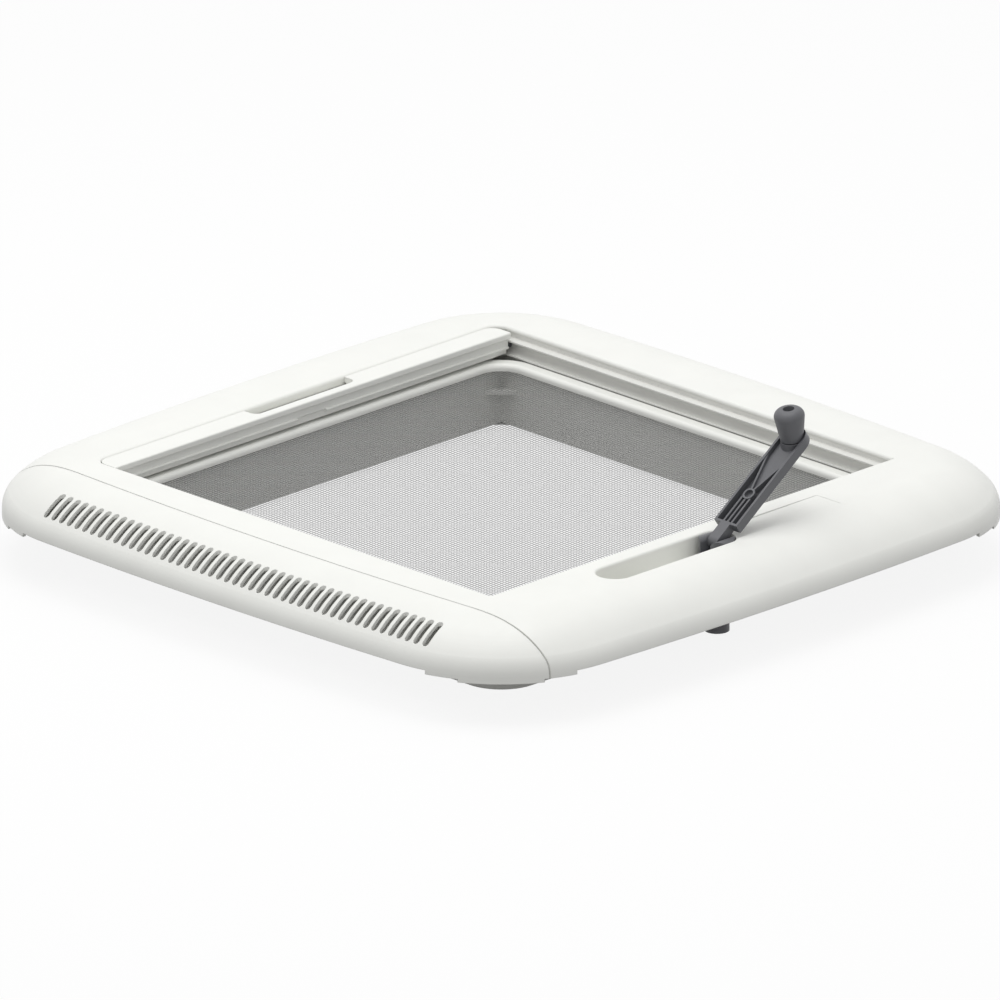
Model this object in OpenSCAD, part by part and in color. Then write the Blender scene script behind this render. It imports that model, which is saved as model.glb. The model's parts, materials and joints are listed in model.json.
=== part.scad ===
// Caravan roof vent, room side: a bullnosed ceiling surround with a slotted end cover,
// a roof collar, a fixed flyscreen, a sliding pleated blind and a folding winding crank.
// The room face points up. The origin is the middle of the collar's lower edge.
// A "drop" is a depth below the room face.

/* [Overall] */
// Side of the surround, from mid side to mid side
overall_size = 500; // [460:1:540]
// Height from the collar's lower edge to the room face
overall_h = 61.5; // [60:0.5:80]
// Half of the angle that each bowed side turns through, seen from above
side_turn = 2.777; // [2.2:0.001:3.4]
// Radius of the surround's corners, seen from above
corner_r = 92; // [86:1:104]

/* [Surround] */
// Depth of the surround at mid side
rim_drop = 28.85; // [28:0.05:32]
// How much deeper the rim is at the corners
corner_lip = 2.6; // [0.5:0.1:3.5]
// Distance from a corner's centre at which its lip starts
lip_run = 22.3; // [15:0.1:30]
// How much deeper than the lip the foot at a corner's tip is
corner_foot = 2.1; // [0.5:0.1:3]
// Distance from a corner's centre at which its foot starts
foot_run = 43; // [35:0.1:56]
// Wall of the surround and of its end cover
skin_t = 2.5; // [2:0.1:2.8]
// Width of the rounded edge, seen from above
curve_w = 45.65; // [43:0.05:47]
// Radius of the lower, tighter arc of the rounded edge
low_arc_r = 16; // [14:0.1:18]
// Radius of the screw bosses inside
boss_r = 3.8; // [3.2:0.1:4.2]

/* [Opening] */
// Width of the surround beside the opening
border_w = 75.8; // [75:0.1:78]
// How much nearer to the middle the opening's front edge lies than its sides
front_ledge = 9.2; // [8.7:0.1:10.2]
// How much further from the middle the opening's back edge lies than its sides
back_reach = 8; // [7.8:0.1:8.6]
// How much further from the middle the opening's right edge lies than its left edge
right_reach = 4.5; // [0:0.1:5]
// Radius of the opening's back corners
opening_corner_r = 8.6; // [6:0.1:12]
// Rounding of the opening's upper edge
edge_round = 2; // [1:0.1:2.2]
// Thickness of the wall that hangs from the opening's front edge
front_wall_t = 2; // [1.5:0.1:2.5]
// Thickness of the wall that hangs from the opening's back edge
back_wall_t = 1.5; // [1:0.1:2]

/* [Vent cover] */
// Distance of the cover's seam from the rounded edge
seam_inset = 2.05; // [1:0.05:3]
// Width of the open seam
seam_gap = 0.9; // [0.3:0.1:1.2]
// Width of the ledge that closes the seam from below
ledge_w = 6; // [4:0.5:7]
// Thickness of that ledge
ledge_t = 2; // [1.5:0.1:3]
// How far the ledge is rooted under the cover
ledge_root = 4; // [3:0.1:6]
// Number of air slots
slot_count = 48; // [30:1:48]
// How far the row of slots runs into the corners
slot_overrun = 12; // [5:0.1:14]
// How far the row of slots lies towards the front
slot_shift = 4.5; // [0:0.1:5]
// Width of a slot
slot_w = 4.4; // [2.5:0.1:4.8]
// Distance of a slot's outer end from the tighter arc
slot_margin = 0.4; // [0.3:0.1:3]
// Distance of a slot's inner end from the outer edge
slot_inner = 23.4; // [20:0.1:32]

/* [Collar and liner] */
// Distance of the collar's outer face from the opening's sides
collar_out = 4.8; // [4.4:0.1:5.1]
// Wall of the collar
collar_wall = 2.5; // [2:0.1:3.5]
// Outer corner radius of the collar
collar_corner_r = 26.5; // [15:0.5:32]
// Drop of the collar's screw flange
flange_drop = 24; // [23.9:0.1:24.4]
// Thickness of the flange
flange_t = 2.5; // [2:0.1:2.5]
// Width of the flange beyond the screws at the sides
flange_side_w = 36; // [6:0.5:38]
// Width of the flange beyond the screws at the front
flange_front_w = 5; // [4.5:0.5:10]
// Width of the flange beyond the screws at the back
flange_back_w = 6.8; // [6.2:0.1:7]
// Corner radius of the flange
flange_corner_r = 60; // [56:1:70]
// Distance of the well's walls from the collar's outer face
liner_gap = 12; // [11:0.1:13]
// Wall of the liner
liner_wall = 1.8; // [1.4:0.1:2.4]
// Height of the liner's lower edge over the collar's
liner_lift = 2.9; // [2:0.1:13.5]
// Thickness of the liner's seat flange
seat_t = 2; // [1.5:0.1:2]
// Drop of the corner gussets
gusset_drop = 34; // [30:0.5:44]
// Leg of the gussets along the liner's walls
gusset_leg = 14; // [13:0.5:20]
// Thickness of the gussets
gusset_t = 3; // [2:0.5:5]
// Radius of the fixing holes
fixing_hole_r = 2.1; // [1.6:0.05:2.3]
// Distance of the fixing holes from the liner's walls
fixing_inset = 4.6; // [4.2:0.1:5]

/* [Flyscreen] */
// How far the flyscreen's bead reaches in over the liner
bead_over = 2.5; // [1.5:0.1:5]
// Width of the bead
bead_w = 8.5; // [7:0.1:8.7]
// Height of the bead
bead_h = 4.6; // [4:0.1:4.8]
// Inner corner radius of the bead
bead_corner_r = 16; // [8:0.5:24]
// Rounding of the bead's inner upper edge
bead_round = 3; // [1:0.1:3.5]
// Thickness of the net
net_t = 0.6; // [0.4:0.1:1]
// Gaps in each direction of the net
net_gaps = 17; // [8:1:17]
// Width of a strand of the net
net_strand = 1.2; // [0.8:0.1:2]
// How far the net is tucked under the bead
net_tuck = 6.5; // [6:0.1:6.8]
// Width of the groove for the net's spline
groove_w = 2.2; // [1.6:0.1:2.4]
// Depth of the groove
groove_h = 1.8; // [1.2:0.1:2.2]
// Distance of the groove from the bead's inner edge
groove_inset = 3.6; // [3:0.1:4]

/* [Guide rails] */
// How far the rails' lips reach into the opening
rail_in = 0.8; // [0.2:0.1:1]
// Depth of the rails' channels
rail_depth = 6.6; // [6.2:0.1:7]
// Wall of the rails
rail_wall = 2; // [1.4:0.1:2.4]
// Drop of the ridge between the channels
ridge_drop = 6.2; // [5.8:0.1:6.6]
// Thickness of the ridge
ridge_t = 1; // [0.8:0.1:1.2]
// Drop of the rails' lower lips
rail_bottom_drop = 16.4; // [16.2:0.1:16.7]
// Thickness of the lower lips
rail_lip_t = 1.2; // [1:0.1:1.6]
// Radius of the cove in the lower channel
cove_r = 5; // [4:0.1:5.4]
// Width of the rails' feet
foot_w = 14; // [12:0.5:15]
// Thickness of the rails' feet
foot_t = 2; // [1.5:0.1:3]
// How far the rails run on under the opening's front edge
rail_over = 7; // [3:0.5:9]

/* [Blind] */
// Folds in the blind
pleat_count = 20; // [12:1:24]
// Height of the folds
pleat_h = 9.8; // [8:0.1:10]
// Thickness of the cloth, measured along the stack
pleat_t = 0.4; // [0.3:0.05:0.5]
// Depth of the folded stack
stack_d = 31; // [28:0.5:31.5]
// Gap between the blind and the rails' lips
blind_gap = 2.4; // [1.4:0.1:5.4]
// Drop of the top of the stack
stack_drop = 6.4; // [6.2:0.1:7]
// Wall of the cassette
cassette_wall = 2; // [1.5:0.1:2.5]
// Width of the cassette's screw foot
cassette_foot = 12; // [10:0.5:13]
// Height of the cassette's walls
cassette_h = 12; // [8:0.5:12.5]

/* [Pull bar] */
// Depth of the grip, from front to back
bar_depth = 16.5; // [15.8:0.1:16.8]
// Gap between the grip and the opening's edges
bar_gap = 0.4; // [0.4:0.1:0.9]
// Depth of the grip's top below the room face
grip_sink = 0.7; // [0.3:0.1:0.9]
// Thickness of the grip's top
grip_t = 2.2; // [1.6:0.1:2.6]
// Drop of the grip's skirts
grip_drop = 4.6; // [4.2:0.1:5]
// Wall of the grip's skirts and of the bar's body
bar_wall = 1.6; // [1.4:0.1:2]
// Half length of the finger notch
notch_half = 44; // [30:0.5:60]
// Depth of the notch from the grip's back
notch_depth = 10.4; // [8.6:0.1:10.8]
// Corner radius of the notch
notch_r = 5; // [2:0.5:5]
// Drop of the notch's floor in the body
notch_drop = 8.5; // [7.5:0.1:9.5]
// Step of the body's front face behind the grip's
body_step = 1.5; // [1:0.1:2]
// Step of the body's lower front behind the grip's
lower_step = 2.9; // [2.6:0.1:3.4]
// Drop of the body's lower edge
body_drop = 15; // [14.4:0.1:15.4]
// Drop of the front ridge
lip_drop = 10; // [9.6:0.1:10.4]
// Thickness of the front ridge
lip_t = 1.2; // [0.8:0.1:1.4]
// Half width of the gap in the front ridge
lip_gap_half = 12.5; // [11.5:0.5:20]
// Length of a slider inside the body
slider_l = 22; // [12:0.5:30]

/* [Crank recess] */
// Distance of the spindle's axis from the collar's outer face
spindle_out = 10.6; // [10.5:0.1:11]
// Radius of the recess
recess_r = 11.9; // [11.6:0.1:12.1]
// Length of the recess beyond the knob's foot
recess_over = 18.2; // [17.8:0.1:22]
// Depth of the recess
recess_depth = 16; // [15.4:0.1:17]
// Depth of the deeper pocket for the knob
pocket_depth = 28.6; // [28.3:0.1:29.4]
// Radius of the knob's pocket
pocket_r = 11; // [10.4:0.1:11.4]
// Length of the pocket before the knob's foot
pocket_before = 21.2; // [17:0.1:33]
// Wall of the recess
recess_wall = 1.8; // [1.4:0.1:1.9]
// Rounding of the recess's upper edge
recess_round = 1.6; // [0.6:0.1:2]
// Reach of the shallow ramp beside the hub
ramp_reach = 98; // [80:1:104]
// Depth of the ramp at the hub
ramp_depth = 1; // [0.4:0.1:1.2]
// Depth of the ramp at its far end
ramp_end = 0.15; // [0.1:0.05:0.3]

/* [Crank] */
// Drop of the crank's hinge
hinge_drop = 3; // [2.8:0.1:3.3]
// Angle of the unfolded arm above the room face
arm_rise = 35.5; // [34:0.5:40]
// Distance from the hinge to the knob's foot, along the arm
arm_l = 83.2; // [78:0.1:83.4]
// Width of the arm
arm_w = 19.5; // [17:0.1:20.5]
// Depth of the arm
arm_depth = 6.4; // [5.5:0.1:7]
// Walls and floor of the arm's channel
arm_wall = 1.6; // [1.2:0.1:2]
// Distance of the arm's smooth back from the hinge's axis
arm_back = 2; // [1.8:0.1:2.4]
// Distance from the hinge to the arm's full width
arm_root = 12; // [11.8:0.1:14]
// Width of the tongue in the hub
tongue_w = 8; // [7:0.1:8.4]
// Thickness of the arm's ribs
rib_t = 1.3; // [1:0.1:1.8]
// Distance from the slanted ribs' end to the knob's foot
rib_end = 15; // [12:0.5:20]
// Distance from the hinge to the round boss on the arm
ring_at = 37; // [32:0.5:42]
// Radius of the round boss
ring_r = 4.2; // [3.5:0.1:5]
// Height of the knob's foot over the hinge's axis, across the arm
knob_rise = 3.2; // [2.6:0.1:3.4]
// Lean of the knob's axis from upright
knob_lean = 8.5; // [6:0.5:10]
// Height of the knob
knob_h = 21; // [18:0.1:21.2]
// Radius of the knob's foot
knob_foot_r = 7.35; // [6.5:0.05:7.5]
// Largest radius of the knob
knob_r = 9.75; // [9:0.05:9.8]
// Rounding of the knob's top
knob_round = 5; // [3:0.1:5.2]
// Gap between the knob and its seat in the arm
knob_gap = 0.8; // [0.5:0.1:1]
// Radius of the knob's axle
axle_r = 2.5; // [2:0.05:2.7]
// Radius of the axle's head
axle_head_r = 3.4; // [3.1:0.05:3.5]
// Radius of the hole above the head
axle_hole_r = 3.7; // [3.6:0.05:3.9]

/* [Spindle] */
// Radius of the hub
hub_r = 11.2; // [10.8:0.05:11.4]
// Height of the hub's cheeks over the room face
hub_proud = 0.3; // [0:0.1:0.5]
// Drop of the hub's slot
hub_slot_drop = 9; // [8.8:0.1:9.6]
// Drop of the hub's lower face
hub_drop = 14.6; // [14.2:0.1:15]
// Radius of the hinge pin
pin_r = 1.5; // [1.2:0.05:1.7]
// Radius of the spindle's shaft
shaft_r = 5; // [4.5:0.05:5.5]
// Radius of the spindle's spigot in the hub
spigot_r = 3.5; // [3:0.05:4]
// Radius of the drive socket
socket_r = 7.85; // [7:0.05:8.4]
// Radius of the socket's bore
socket_bore_r = 4; // [3:0.05:4.5]
// Depth of the socket's bore
socket_bore_l = 12; // [8:0.5:14]
// Length of the socket
socket_l = 16.2; // [14:0.1:19]
// Clearance of the socket over the collar's lower edge
socket_lift = 0.3; // [0.1:0.1:1]
// Wall of the bush
bush_wall = 2.4; // [2:0.05:2.5]
// Thickness of the bush's flange
bush_flange_t = 1.2; // [0.8:0.1:1.6]
// Wall of the carrier's tube
carrier_wall = 1.9; // [1.6:0.05:2]
// Drop of the tube's lower end
carrier_drop = 34; // [32:0.5:36]
// Half length of the carrier's plate
carrier_half_l = 23; // [21:0.5:24]
// Half width of the plate
carrier_half_w = 10.5; // [10:0.1:11]
// Thickness of the plate
carrier_t = 2.5; // [2:0.1:3]
// Drop of the carrier's plate
carrier_plate_drop = 22; // [21:0.1:22.5]
// Thickness of the retaining clip
clip_t = 1; // [0.8:0.1:1.4]

/* [Fasteners and fits] */
// Shank radius of the frame's screws
screw_r = 1.55; // [1.3:0.05:1.7]
// Head radius of the frame's screws
screw_head_r = 3.2; // [2.8:0.1:3.4]
// Head height of the frame's screws
screw_head_h = 2; // [1.6:0.1:2.2]
// Shank radius of the pull bar's screws
bar_screw_r = 1; // [0.8:0.05:1.1]
// Head radius of the pull bar's screws
bar_screw_head_r = 2; // [1.7:0.05:2.2]
// Head height of the pull bar's screws
bar_screw_head_h = 1.3; // [1:0.1:1.4]
// Distance of the side screws from the plane of the opening's sides
side_screw_in = 104.2; // [80:0.1:120]
// Distance of the back screws from the same plane
back_screw_in = 54.2; // [52:0.1:90]
// Distance of the outer pull-bar screws from the same plane
bar_screw_in = 34.2; // [30:0.1:70]
// Distance of the front screws from the recess's end
front_screw_side = 23.6; // [20:0.1:28]
// Distance of the front screws from the spindle's axis
front_screw_out = 6.4; // [4:0.1:7]
// Room between a screw's tip and the end of its hole
tip_room = 0.3; // [0.2:0.1:0.6]
// Clearance of pieces that move past each other
pass_gap = 0.3; // [0.3:0.05:0.4]
// Clearance of pieces that stay side by side
side_gap = 0.2; // [0.1:0.05:0.3]
// Running clearance of pins and shafts, measured on the radius
run = 0.05; // [0.02:0.01:0.09]
// Clearance of pieces that are only laid in
slip = 0.1; // [0.05:0.01:0.2]

/* [Hidden] */
$fn = 96;

white = [0.95, 0.95, 0.93];
cream = [0.90, 0.90, 0.87];
dark_grey = [0.36, 0.37, 0.39];
steel = [0.70, 0.71, 0.72];

big = 400;
cut = 1;

half = overall_size / 2;
// The bow's radius follows from the corner it runs into without a kink
turn_ratio = cos(side_turn) - sin(side_turn);
side_bow_r = (half - corner_r * turn_ratio) / (1 - turn_ratio);
side_k = side_bow_r - half;
corner_c = (side_bow_r - corner_r) * sin(side_turn);
// The upper arc's radius follows from the lower arc it runs into without a kink
top_arc_r = (pow(curve_w, 2) + pow(rim_drop, 2) - 2 * low_arc_r * curve_w) / (2 * (rim_drop - low_arc_r));
arc_meet = atan2(top_arc_r - rim_drop, low_arc_r - curve_w);
slot_outer = low_arc_r + (low_arc_r - skin_t) * cos(arc_meet) + slot_margin;

opening_half = half - border_w;
opening_front = opening_half - front_ledge;
opening_back = opening_half + back_reach;
back_wall_drop = stack_drop - pass_gap - run;
plate_w = half - opening_front + ledge_root;
cover_seam = curve_w + seam_inset;
seam_steps = 10;
seam_step = 5.2 / seam_steps;
slot_pitch = 2 * (corner_c + slot_overrun) / (slot_count - 1);

collar_half = opening_half + collar_out;
liner_half = collar_half - liner_gap;
liner_bottom_drop = overall_h - liner_lift;
seat_drop = flange_drop - seat_t;
screen_half = liner_half - bead_over;
bead_bottom = seat_drop - net_t;
bead_top = bead_bottom - bead_h;

spindle_y = collar_half + spindle_out;
recess_reach = arm_l + recess_over;
recess_far = recess_reach - recess_r;
pocket_start = arm_l - pocket_before;
notch_clear = 2.5;
cup_front = spindle_y - recess_r - recess_wall;

rail_lip = opening_half - rail_in;
rail_outer = rail_lip + rail_depth + rail_wall;
rail_front = opening_front + rail_over;
// The rails end where the surround starts to curve down over them
rail_back = corner_c + sqrt(pow(corner_r - curve_w, 2) - pow(rail_outer - corner_c, 2)) - side_gap;
blind_half = rail_lip - blind_gap;
cassette_back = opening_back + stack_d + cassette_wall;

side_boss = [rail_outer + foot_w / 2 + rail_wall / 4, opening_half - side_screw_in];
front_boss = [recess_reach + front_screw_side, spindle_y + front_screw_out];
back_boss = [opening_half - back_screw_in, cassette_back + cassette_foot / 2];
flange_side = side_boss[0] + flange_side_w;
flange_front = front_boss[1] + flange_front_w;
flange_back = back_boss[1] + flange_back_w;
boss_pilot_drop = flange_drop - 13;
// Each entry: x, y, and the drop of the boss's foot
frame_bosses = concat(
    [for (sx = [-1, 1], sy = [-1, 1]) [sx * side_boss[0], sy * side_boss[1], flange_drop - foot_t]],
    [for (sx = [-1, 1]) [sx * front_boss[0], -front_boss[1], flange_drop]],
    [for (sx = [-1, 1]) [sx * back_boss[0], back_boss[1], flange_drop - foot_t]]
);
back_boss_inset = sqrt(pow(side_bow_r, 2) - pow(back_boss[0], 2)) - side_k - back_boss[1];
back_boss_top = skin_drop(back_boss_inset - boss_r) + skin_t / 4;
carrier_screw_x = carrier_half_l - 6;
carrier_screw_top = recess_depth + 1.5;

bar_end = opening_half - bar_gap;
body_end = rail_lip - bar_gap - side_gap;
grip_back = opening_back - bar_gap;
bar_front = grip_back - bar_depth;
notch_front = grip_back - notch_depth;
body_back = grip_back - bar_wall;
hollow_front = bar_front + lower_step + bar_wall;
hollow_top = grip_drop + bar_wall;
hollow_bottom = body_drop - bar_wall;
bar_screw_y = (hollow_front + body_back - bar_wall) / 2;
bar_screw_at = [for (i = [-2, -1, 1, 2]) [i / 2 * (opening_half - bar_screw_in), bar_screw_y]];
bar_pilot_drop = grip_sink + grip_t - side_gap;
tongue_top = ridge_drop + ridge_t + pass_gap + run;
tongue_bottom = rail_bottom_drop - rail_lip_t - 2.8;
tongue_reach = rail_lip + rail_depth - 1;
nose_half = 10;
nose_drop = [lip_drop + 0.6, lip_drop + 2.8];
nose_tip = opening_front - 3.4;
window_clear = 0.6;
window_half = nose_half + window_clear;
catch_half = 18;
catch_t = 1.5;
catch_drop = [skin_t + 1.5, bead_top - pass_gap];

bush_r = shaft_r + run + bush_wall;
socket_end = overall_h - socket_lift;
socket_drop = socket_end - socket_l;
clip_top = carrier_drop + bush_flange_t + side_gap;
clip_neck_r = shaft_r - 0.4;
clip_r = bush_r;
cheek_r = (hub_r - tongue_w / 2 - pass_gap) / 2;
cheek_y = hub_r - cheek_r;
hub_eye_drop = cheek_r - hub_proud;
spigot_l = hub_drop - hub_slot_drop - 1.5;
washer_r = hub_r - 0.7;
eye_r = 4.4;
spring_half = 8;
spring_t = 0.4;
spring_rise = 0.65;
knob_tilt = 90 + knob_lean - arm_rise;
axle_seat = knob_h - 6.5;
axle_root = 5.5;
axle_head_h = 2.4;

// Height of a drop below the room face
function zd(drop) = overall_h - drop;

// Drop of the rounded edge's outer face at a distance from the outer edge
function skin_drop(inset) = top_arc_r - sqrt(pow(top_arc_r, 2) - pow(curve_w - inset, 2));

// Distance of the outer edge from the centre of a bowed side, at an angle from mid side
function edge_reach(turn) = let (past = max(0, abs(turn) - side_turn), d = side_bow_r - corner_r)
    d * cos(past) + sqrt(pow(corner_r, 2) - pow(d * sin(past), 2));

// A length in whole millimetres, and what is left of it in hundred-thousandths
function coarse(v) = [for (x = v) round(x)];
function fine(v) = [for (x = v) round((x - round(x)) * 100000) / 100000];

// A move in three steps, so that no digit of a long radius is lost
module move_exactly(v) {
    translate(coarse(v)) translate(fine(v)) translate(v - coarse(v) - fine(v)) children();
}

// A flat rectangle with rounded corners, centred
module rounded_plate(hx, hy, r) {
    square([2 * (hx - r), 2 * hy], center = true);
    square([2 * hx, 2 * (hy - r)], center = true);
    for (sx = [-1, 1], sy = [-1, 1]) translate([sx * (hx - r), sy * (hy - r)]) circle(r);
}

// A flat strip with round ends, from x0 to x1
module stadium(x0, x1, r) {
    translate([x0, -r]) square([x1 - x0, 2 * r]);
    for (x = [x0, x1]) translate([x, 0]) circle(r);
}

// A flat section pushed along a straight edge. Its x points along the normal and its y up.
module along_edge(mid, normal_angle, length) {
    translate(mid) rotate([0, 0, normal_angle]) translate([0, length / 2, 0]) rotate([90, 0, 0])
        linear_extrude(length) children();
}

// A flat section carried round a corner, in the quarter that starts at from_angle
module round_corner(centre, from_angle, turn = 90) {
    translate(centre) rotate([0, 0, from_angle]) rotate_extrude(angle = turn) children();
}

// The flat piece that rounds an upper edge when it is taken away
module edge_cutter(r) {
    difference() {
        translate([-cut, -r]) square([r + cut, r + cut]);
        translate([r, -r]) circle(r);
    }
}

// A screw with its cross-slotted head at the lower end
module screw(shank_r, head_r, head_h, length) {
    slot = [1.3 * head_r, 0.35 * head_r, head_h];
    difference() {
        translate([0, 0, -head_h]) cylinder(r = head_r, h = head_h);
        for (a = [0, 90]) rotate([0, 0, a]) translate([0, 0, -head_h]) cube(slot, center = true);
    }
    translate([0, 0, -head_h / 4]) cylinder(r = shank_r, h = length + head_h / 4);
}

// Surround

// A ring of the surround's wall
module wall_ring(centre, r) {
    translate(centre) difference() {
        circle(r, $fn = 256);
        circle(r - skin_t, $fn = 256);
    }
}

// Section of the surround: x runs inwards from the outer edge, y up from the room face.
// The two arcs meet on the line through both of their centres.
module skin_section(reach, lip) {
    low_mid = [low_arc_r, -rim_drop];
    meet = [curve_w, -top_arc_r] + 2 * top_arc_r * [cos(arc_meet), sin(arc_meet)];
    intersection() {
        wall_ring([curve_w, -top_arc_r], top_arc_r);
        polygon([low_mid, meet, [meet[0], top_arc_r], [curve_w, top_arc_r], [curve_w, -top_arc_r / 2]]);
    }
    intersection() {
        wall_ring(low_mid, low_arc_r);
        polygon([low_mid, meet, [-top_arc_r, meet[1]], [-top_arc_r, -rim_drop]]);
    }
    translate([curve_w, -skin_t]) square([reach - curve_w, skin_t]);
    if (lip > 0) translate([0, -rim_drop - lip]) square([skin_t, lip]);
}

// One bowed side of the surround, on the side that angle points to
module skin_side(angle) {
    rotate([0, 0, angle]) move_exactly([-side_k, 0, overall_h])
        rotate_extrude(angle = 2 * side_turn, start = -side_turn, $fn = 1440)
            move_exactly([side_bow_r, 0]) mirror([1, 0]) skin_section(plate_w, 0);
}

// One corner of the surround, in the quarter that angle starts
module skin_corner(angle) {
    rotate([0, 0, angle]) move_exactly([corner_c, corner_c, overall_h])
        rotate_extrude(angle = 90 - 2 * side_turn, start = side_turn, $fn = 256)
            translate([corner_r, 0]) mirror([1, 0]) skin_section(corner_r - cut, corner_lip + corner_foot);
}

// What lies below a drop, up to a distance from the middle in either direction
module below(drop, reach) {
    depth = rim_drop + corner_lip + corner_foot + cut - drop;
    for (turn = [0, 90]) rotate([0, 0, turn]) translate([-reach, -big, zd(drop + depth)])
        cube([2 * reach, 2 * big, depth]);
}

// What lies below the rim between the corner lips, and below the lips between the feet
module below_rim() {
    below(rim_drop, corner_c + lip_run);
    below(rim_drop + corner_lip, corner_c + foot_run);
}

// Points along the cover's seam, moved out by a gap
function seam_points(gap) = [for (i = [-seam_steps : seam_steps])
    [side_k, 0] + (side_bow_r - cover_seam + gap) * [-cos(i * seam_step), sin(i * seam_step)]];

// The zone on the outer side of the seam, which belongs to the end cover
module cover_zone() {
    translate([0, 0, -cut]) linear_extrude(overall_h + 2 * cut)
        polygon(concat(seam_points(0), [[-big, big], [-big, -big]]));
}

// The zone on the inner side of the seam
module surround_zone(gap) {
    translate([0, 0, -cut]) linear_extrude(overall_h + 2 * cut)
        polygon(concat(seam_points(gap), [[0, big], [0, -big]]));
}

module opening_shape() {
    r = opening_corner_r;
    hx = opening_half + right_reach / 2;
    translate([right_reach / 2, 0]) {
        translate([-hx, -opening_front]) square([2 * hx, opening_front + opening_back - r]);
        translate([r - hx, opening_back - r - cut]) square([2 * (hx - r), r + cut]);
        for (sx = [-1, 1]) translate([sx * (hx - r), opening_back - r]) circle(r);
    }
}

// The rounding of the opening's upper edge
module opening_rounding() {
    r = opening_corner_r;
    hx = opening_half + right_reach / 2;
    side_l = opening_front + opening_back - r;
    side_mid = (opening_back - r - opening_front) / 2;
    translate([right_reach / 2, 0, overall_h]) {
        for (a = [0, 180]) along_edge([cos(a) * hx, side_mid, 0], a, side_l) edge_cutter(edge_round);
        along_edge([0, opening_back, 0], 90, 2 * (hx - r)) edge_cutter(edge_round);
        along_edge([0, -opening_front, 0], -90, 2 * hx) edge_cutter(edge_round);
        for (a = [0, 90]) round_corner([(a == 0 ? 1 : -1) * (hx - r), opening_back - r, 0], a)
            translate([r, 0]) edge_cutter(edge_round);
    }
}

// The cup of the crank's recess, grown by a wall
module recess_form(wall) {
    translate([0, -spindle_y, zd(recess_depth + wall)]) linear_extrude(recess_depth + wall)
        stadium(-recess_far, 0, recess_r + wall);
    translate([0, -spindle_y, zd(pocket_depth + wall)]) linear_extrude(pocket_depth + wall)
        stadium(-recess_far, -pocket_start, pocket_r + wall);
}

module recess_rounding() {
    mid = [-recess_far / 2, -spindle_y, overall_h];
    for (a = [90, -90]) along_edge(mid + [0, sin(a) * recess_r, 0], a, recess_far)
        edge_cutter(recess_round);
    round_corner([0, -spindle_y, overall_h], -90, 180) translate([recess_r, 0]) edge_cutter(recess_round);
    round_corner([-recess_far, -spindle_y, overall_h], 90, 180)
        translate([recess_r, 0]) edge_cutter(recess_round);
}

// The shallow ramp in the room face, on the side of the hub that the raised arm leans to
module recess_ramp() {
    hw = recess_r - recess_round;
    translate([0, hw - spindle_y, overall_h]) rotate([90, 0, 0]) linear_extrude(2 * hw)
        polygon([[0, cut], [0, -ramp_depth], [ramp_reach, -ramp_end], [ramp_reach, cut]]);
}

// The block under the recess that the spindle's carrier is screwed to
module carrier_pad() {
    pad_h = carrier_plate_drop - recess_depth + recess_wall;
    translate([0, -spindle_y, zd(carrier_plate_drop)]) linear_extrude(pad_h)
        rounded_plate(carrier_half_l, carrier_half_w, 3);
}

module surround_frame() {
    color(white) difference() {
        union() {
            difference() {
                union() {
                    for (a = [0, 90, 180, 270]) {
                        skin_side(a);
                        skin_corner(a);
                    }
                }
                translate([0, 0, zd(rim_drop)]) linear_extrude(rim_drop + cut) opening_shape();
                opening_rounding();
                below_rim();
                cover_zone();
            }
            difference() {
                recess_form(recess_wall);
                translate([-big, -big, zd(skin_t / 2)]) cube([2 * big, 2 * big, skin_t]);
            }
            carrier_pad();
            for (b = frame_bosses) {
                top = b[1] > opening_back ? back_boss_top : skin_t / 2;
                translate([b[0], b[1], zd(b[2])]) cylinder(r = boss_r, h = b[2] - top);
            }
            translate([slip - rail_lip, -opening_front - front_wall_t, zd(bead_top)])
                cube([2 * (rail_lip - slip), front_wall_t, bead_top - skin_t / 2 - edge_round / 2]);
            translate([opening_corner_r - opening_half, opening_back, zd(back_wall_drop)])
                cube([2 * (opening_half - opening_corner_r), back_wall_t,
                    back_wall_drop - skin_t / 2 - edge_round / 2]);
        }
        translate([0, 0, cut]) recess_form(0);
        recess_form(0);
        recess_rounding();
        recess_ramp();
        translate([0, -spindle_y, zd(carrier_plate_drop + cut)])
            cylinder(r = bush_r + run, h = carrier_plate_drop);
        for (sx = [-1, 1]) translate([sx * carrier_screw_x, -spindle_y, zd(carrier_plate_drop + cut)])
            cylinder(r = screw_r + run, h = carrier_plate_drop - carrier_screw_top + cut);
        for (b = frame_bosses) translate([b[0], b[1], zd(b[2] + cut)])
            cylinder(r = screw_r + run, h = b[2] - boss_pilot_drop + cut);
        translate([-window_half, -opening_front - front_wall_t - cut, zd(nose_drop[1] + window_clear)])
            cube([2 * window_half, front_wall_t + 2 * cut, nose_drop[1] - nose_drop[0] + 2 * window_clear]);
    }
}

// End cover

module air_slots() {
    per_mm = 180 / PI / side_bow_r;
    r = slot_w / 2;
    translate([side_k, 0, zd(rim_drop - cut)]) linear_extrude(rim_drop) for (i = [0 : slot_count - 1]) {
        turn = (slot_shift + (i - (slot_count - 1) / 2) * slot_pitch) * per_mm;
        edge = edge_reach(turn);
        rotate(180 + turn) stadium(edge - slot_inner + r, edge - slot_outer - r, r, $fn = 24);
    }
}

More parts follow.
